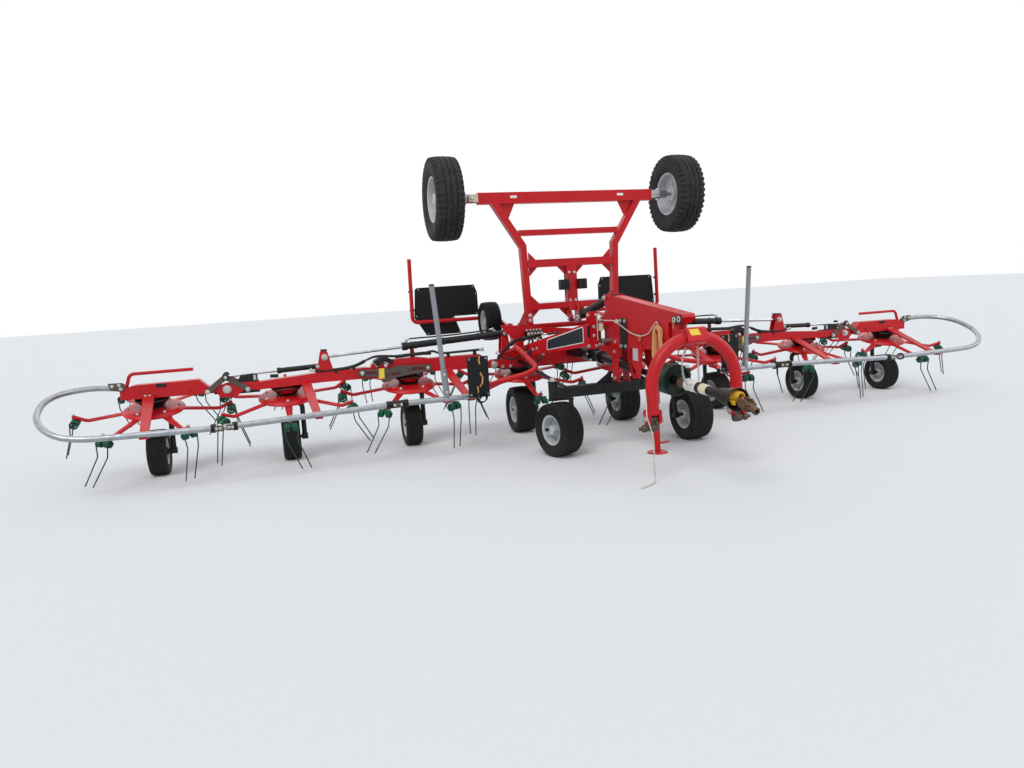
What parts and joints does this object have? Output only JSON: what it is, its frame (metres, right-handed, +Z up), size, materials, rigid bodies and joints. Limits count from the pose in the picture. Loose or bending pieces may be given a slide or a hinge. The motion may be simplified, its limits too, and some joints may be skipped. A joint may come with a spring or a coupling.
{
  "type": "hay tedder",
  "caption": "Mounted hay tedder with tined rotors over small wheels, folding beams, a raised transport axle, caster wheels in front and a swivelling headstock arch.",
  "frame": {"origin": "on the ground, under the middle of the whole machine's box at rest", "axes": "+X is the machine's left when it drives forward, +Y to its rear, +Z up"},
  "size_m": [9.6606, 4.101, 2.7649],
  "materials": {
    "red_paint": "gloss",
    "black_paint": "satin",
    "galvanised": "satin",
    "chrome_rod": "polished",
    "linkage": "satin",
    "tyre": "matt",
    "pin_steel": "satin",
    "guard_plastic": "matt",
    "valves": "satin",
    "cord": "matt",
    "cord_hank": "matt"
  },
  "bodies": {
    "chassis": {"tower": "red_paint", "arms": "red_paint", "centre_beam": "red_paint", "cradle": "red_paint", "underframe": "black_paint", "light_boards": "guard_plastic", "spare_wheel": "tyre", "hoses": "valves", "rope": "cord", "hank": "cord_hank"},
    "jack_leg": {"jack": "red_paint"},
    "lift_frame": {"transport_frame": "red_paint"},
    "lift_barrel": {"lift_barrel": "black_paint"},
    "lift_rod": {"lift_rod": "chrome_rod"},
    "transport_wheel_l": {"transport_wheel_l": "tyre"},
    "transport_wheel_r": {"transport_wheel_r": "tyre"},
    "headstock": {"headstock": "red_paint", "hitch_hooks": "pin_steel", "pto_shaft": "guard_plastic", "leg_rope": "cord"},
    "fork_l": {"fork_l": "black_paint"},
    "front_wheel_l": {"front_wheel_l": "tyre"},
    "wing_l": {"wing_beam_l": "red_paint", "wing_guard_l": "galvanised"},
    "outer_l": {"outer_beam_l": "red_paint", "outer_guard_l": "galvanised"},
    "wing_barrel_l": {"wing_barrel_l": "black_paint"},
    "wing_rod_l": {"wing_rod_l": "chrome_rod"},
    "outer_barrel_l": {"outer_barrel_l": "black_paint"},
    "outer_rod_l": {"outer_rod_l": "chrome_rod"},
    "rocker_l": {"rocker_l": "linkage"},
    "link_l": {"link_l": "linkage"},
    "fork_r": {"fork_r": "black_paint"},
    "front_wheel_r": {"front_wheel_r": "tyre"},
    "wing_r": {"wing_beam_r": "red_paint", "wing_guard_r": "galvanised"},
    "outer_r": {"outer_beam_r": "red_paint", "outer_guard_r": "galvanised"},
    "wing_barrel_r": {"wing_barrel_r": "black_paint"},
    "wing_rod_r": {"wing_rod_r": "chrome_rod"},
    "outer_barrel_r": {"outer_barrel_r": "black_paint"},
    "outer_rod_r": {"outer_rod_r": "chrome_rod"},
    "rocker_r": {"rocker_r": "linkage"},
    "link_r": {"link_r": "linkage"},
    "rotor_1": {"rotor_1": "red_paint"},
    "wheel_1": {"wheel_1": "tyre"},
    "rotor_2": {"rotor_2": "red_paint"},
    "wheel_2": {"wheel_2": "tyre"},
    "rotor_3": {"rotor_3": "red_paint"},
    "wheel_3": {"wheel_3": "tyre"},
    "rotor_4": {"rotor_4": "red_paint"},
    "wheel_4": {"wheel_4": "tyre"},
    "rotor_5": {"rotor_5": "red_paint"},
    "wheel_5": {"wheel_5": "tyre"},
    "rotor_6": {"rotor_6": "red_paint"},
    "wheel_6": {"wheel_6": "tyre"},
    "rotor_7": {"rotor_7": "red_paint"},
    "wheel_7": {"wheel_7": "tyre"},
    "rotor_8": {"rotor_8": "red_paint"},
    "wheel_8": {"wheel_8": "tyre"}
  },
  "joints": [
    {"name": "jack_slide", "type": "slide", "parent": "chassis", "child": "jack_leg", "axis": [0, 0, 1], "range_m": [0, 0.3]},
    {"name": "frame_lift", "type": "hinge", "parent": "chassis", "child": "lift_frame", "pos_m": [0, 1.3645, 1.06], "axis": [-1, 0, 0], "range_deg": [0, 128]},
    {"name": "lift_barrel_swing", "type": "hinge", "parent": "chassis", "child": "lift_barrel", "pos_m": [0, 0.1095, 1.338], "axis": [1, 0, 0], "range_deg": [0, 12.31]},
    {"name": "lift_rod_slide", "type": "slide", "parent": "lift_barrel", "child": "lift_rod", "axis": [0, 0.9734, -0.2293], "range_m": [0, 0.6328]},
    {"name": "transport_wheel_spin_l", "type": "hinge", "parent": "lift_frame", "child": "transport_wheel_l", "pos_m": [1.265, 1.1095, 2.365], "axis": [1, 0, 0], "continuous": true},
    {"name": "transport_wheel_spin_r", "type": "hinge", "parent": "lift_frame", "child": "transport_wheel_r", "pos_m": [-1.265, 1.1095, 2.365], "axis": [1, 0, 0], "continuous": true},
    {"name": "headstock_swivel", "type": "hinge", "parent": "chassis", "child": "headstock", "pos_m": [0, -1.0905, 1.05], "axis": [0, 0, 1], "range_deg": [-60, 60]},
    {"name": "caster_swivel_l", "type": "hinge", "parent": "chassis", "child": "fork_l", "pos_m": [0.66, -0.0355, 0.56], "axis": [0, 0, 1], "continuous": true},
    {"name": "front_wheel_spin_l", "type": "hinge", "parent": "fork_l", "child": "front_wheel_l", "pos_m": [0.66, -0.0955, 0.235], "axis": [1, 0, 0], "continuous": true},
    {"name": "caster_swivel_r", "type": "hinge", "parent": "chassis", "child": "fork_r", "pos_m": [-0.66, -0.0355, 0.56], "axis": [0, 0, 1], "continuous": true},
    {"name": "front_wheel_spin_r", "type": "hinge", "parent": "fork_r", "child": "front_wheel_r", "pos_m": [-0.67553, -0.09346, 0.235], "axis": [0.9659, -0.2588, 0], "continuous": true},
    {"name": "rotor_spin_1", "type": "hinge", "parent": "outer_r", "child": "rotor_1", "pos_m": [-4.025, 1.1645, 0.62], "axis": [0, -0.2079, 0.9781], "continuous": true},
    {"name": "rotor_spin_2", "type": "hinge", "parent": "wing_r", "child": "rotor_2", "pos_m": [-2.875, 1.1645, 0.62], "axis": [0, -0.2079, 0.9781], "continuous": true},
    {"name": "rotor_spin_3", "type": "hinge", "parent": "wing_r", "child": "rotor_3", "pos_m": [-1.725, 1.1645, 0.62], "axis": [0, -0.2079, 0.9781], "continuous": true},
    {"name": "rotor_spin_4", "type": "hinge", "parent": "chassis", "child": "rotor_4", "pos_m": [-0.575, 1.1645, 0.62], "axis": [0, -0.2079, 0.9781], "continuous": true},
    {"name": "rotor_spin_5", "type": "hinge", "parent": "chassis", "child": "rotor_5", "pos_m": [0.575, 1.1645, 0.62], "axis": [0, -0.2079, 0.9781], "continuous": true},
    {"name": "rotor_spin_6", "type": "hinge", "parent": "wing_l", "child": "rotor_6", "pos_m": [1.725, 1.1645, 0.62], "axis": [0, -0.2079, 0.9781], "continuous": true},
    {"name": "rotor_spin_7", "type": "hinge", "parent": "wing_l", "child": "rotor_7", "pos_m": [2.875, 1.1645, 0.62], "axis": [0, -0.2079, 0.9781], "continuous": true},
    {"name": "rotor_spin_8", "type": "hinge", "parent": "outer_l", "child": "rotor_8", "pos_m": [4.025, 1.1645, 0.62], "axis": [0, -0.2079, 0.9781], "continuous": true},
    {"name": "wheel_spin_1", "type": "hinge", "parent": "outer_r", "child": "wheel_1", "pos_m": [-4.025, 1.1645, 0.205], "axis": [1, 0, 0], "continuous": true},
    {"name": "wheel_spin_2", "type": "hinge", "parent": "wing_r", "child": "wheel_2", "pos_m": [-2.875, 1.1645, 0.205], "axis": [1, 0, 0], "continuous": true},
    {"name": "wheel_spin_3", "type": "hinge", "parent": "wing_r", "child": "wheel_3", "pos_m": [-1.725, 1.1645, 0.205], "axis": [1, 0, 0], "continuous": true},
    {"name": "wheel_spin_4", "type": "hinge", "parent": "chassis", "child": "wheel_4", "pos_m": [-0.575, 1.1645, 0.235], "axis": [1, 0, 0], "continuous": true},
    {"name": "wheel_spin_5", "type": "hinge", "parent": "chassis", "child": "wheel_5", "pos_m": [0.575, 1.1645, 0.235], "axis": [1, 0, 0], "continuous": true},
    {"name": "wheel_spin_6", "type": "hinge", "parent": "wing_l", "child": "wheel_6", "pos_m": [1.725, 1.1645, 0.205], "axis": [1, 0, 0], "continuous": true},
    {"name": "wheel_spin_7", "type": "hinge", "parent": "wing_l", "child": "wheel_7", "pos_m": [2.875, 1.1645, 0.205], "axis": [1, 0, 0], "continuous": true},
    {"name": "wheel_spin_8", "type": "hinge", "parent": "outer_l", "child": "wheel_8", "pos_m": [4.025, 1.1645, 0.205], "axis": [1, 0, 0], "continuous": true},
    {"name": "wing_fold_l", "type": "hinge", "parent": "chassis", "child": "wing_l", "pos_m": [0.87, 1.1145, 0.73], "axis": [0, -1, 0], "range_deg": [0, 48]},
    {"name": "wing_barrel_swing_l", "type": "hinge", "parent": "chassis", "child": "wing_barrel_l", "pos_m": [0.74, 1.1145, 1.03], "axis": [0, -1, 0], "range_deg": [0, 47.7]},
    {"name": "wing_rod_slide_l", "type": "slide", "parent": "wing_barrel_l", "child": "wing_rod_l", "axis": [0.9988, 0, -0.0497], "range_m": [-0.2662, 0]},
    {"name": "outer_fold_l", "type": "hinge", "parent": "wing_l", "child": "outer_l", "pos_m": [3.39, 1.1145, 0.726], "axis": [0, -1, 0], "range_deg": [0, 90]},
    {"name": "rocker_swing_l", "type": "hinge", "parent": "wing_l", "child": "rocker_l", "pos_m": [3.213, 1.1145, 0.711], "axis": [0, -1, 0], "range_deg": [0, 58.32]},
    {"name": "link_swing_l", "type": "hinge", "parent": "outer_l", "child": "link_l", "pos_m": [3.554, 1.1145, 0.719], "axis": [0, -1, 0], "range_deg": [-65.52, 0]},
    {"name": "outer_barrel_swing_l", "type": "hinge", "parent": "wing_l", "child": "outer_barrel_l", "pos_m": [2.58, 1.1145, 0.86], "axis": [0, -1, 0], "range_deg": [0, 8.13]},
    {"name": "outer_rod_slide_l", "type": "slide", "parent": "outer_barrel_l", "child": "outer_rod_l", "axis": [0.9996, 0, -0.0295], "range_m": [-0.188, 0]},
    {"name": "wing_fold_r", "type": "hinge", "parent": "chassis", "child": "wing_r", "pos_m": [-0.87, 1.1145, 0.73], "axis": [0, 1, 0], "range_deg": [0, 48]},
    {"name": "wing_barrel_swing_r", "type": "hinge", "parent": "chassis", "child": "wing_barrel_r", "pos_m": [-0.74, 1.1145, 1.03], "axis": [0, 1, 0], "range_deg": [0, 47.7]},
    {"name": "wing_rod_slide_r", "type": "slide", "parent": "wing_barrel_r", "child": "wing_rod_r", "axis": [-0.9988, 0, -0.0497], "range_m": [-0.2662, 0]},
    {"name": "outer_fold_r", "type": "hinge", "parent": "wing_r", "child": "outer_r", "pos_m": [-3.39, 1.1145, 0.726], "axis": [0, 1, 0], "range_deg": [0, 90]},
    {"name": "rocker_swing_r", "type": "hinge", "parent": "wing_r", "child": "rocker_r", "pos_m": [-3.213, 1.1145, 0.711], "axis": [0, 1, 0], "range_deg": [0, 58.32]},
    {"name": "link_swing_r", "type": "hinge", "parent": "outer_r", "child": "link_r", "pos_m": [-3.554, 1.1145, 0.719], "axis": [0, 1, 0], "range_deg": [-65.52, 0]},
    {"name": "outer_barrel_swing_r", "type": "hinge", "parent": "wing_r", "child": "outer_barrel_r", "pos_m": [-2.58, 1.1145, 0.86], "axis": [0, 1, 0], "range_deg": [0, 8.13]},
    {"name": "outer_rod_slide_r", "type": "slide", "parent": "outer_barrel_r", "child": "outer_rod_r", "axis": [-0.9996, 0, -0.0295], "range_m": [-0.188, 0]}
  ],
  "couplings": [
    {"joint": "lift_barrel_swing", "follows": "frame_lift", "ratio": 0.095425},
    {"joint": "lift_rod_slide", "follows": "frame_lift", "m_per_rad": 0.28302},
    {"joint": "rotor_spin_1", "follows": "rotor_spin_4", "ratio": -1},
    {"joint": "rotor_spin_2", "follows": "rotor_spin_4", "ratio": 1},
    {"joint": "rotor_spin_3", "follows": "rotor_spin_4", "ratio": -1},
    {"joint": "rotor_spin_5", "follows": "rotor_spin_4", "ratio": -1},
    {"joint": "rotor_spin_6", "follows": "rotor_spin_4", "ratio": 1},
    {"joint": "rotor_spin_7", "follows": "rotor_spin_4", "ratio": -1},
    {"joint": "rotor_spin_8", "follows": "rotor_spin_4", "ratio": 1},
    {"joint": "wing_barrel_swing_l", "follows": "wing_fold_l", "ratio": 0.99163},
    {"joint": "wing_rod_slide_l", "follows": "wing_fold_l", "m_per_rad": -0.31718},
    {"joint": "rocker_swing_l", "follows": "outer_fold_l", "ratio": 0.6469},
    {"joint": "link_swing_l", "follows": "outer_fold_l", "ratio": -0.72684},
    {"joint": "outer_barrel_swing_l", "follows": "outer_fold_l", "ratio": 0.089252},
    {"joint": "outer_rod_slide_l", "follows": "outer_fold_l", "m_per_rad": -0.11938},
    {"joint": "wing_barrel_swing_r", "follows": "wing_fold_r", "ratio": 0.99163},
    {"joint": "wing_rod_slide_r", "follows": "wing_fold_r", "m_per_rad": -0.31718},
    {"joint": "rocker_swing_r", "follows": "outer_fold_r", "ratio": 0.6469},
    {"joint": "link_swing_r", "follows": "outer_fold_r", "ratio": -0.72684},
    {"joint": "outer_barrel_swing_r", "follows": "outer_fold_r", "ratio": 0.089252},
    {"joint": "outer_rod_slide_r", "follows": "outer_fold_r", "m_per_rad": -0.11938}
  ]
}
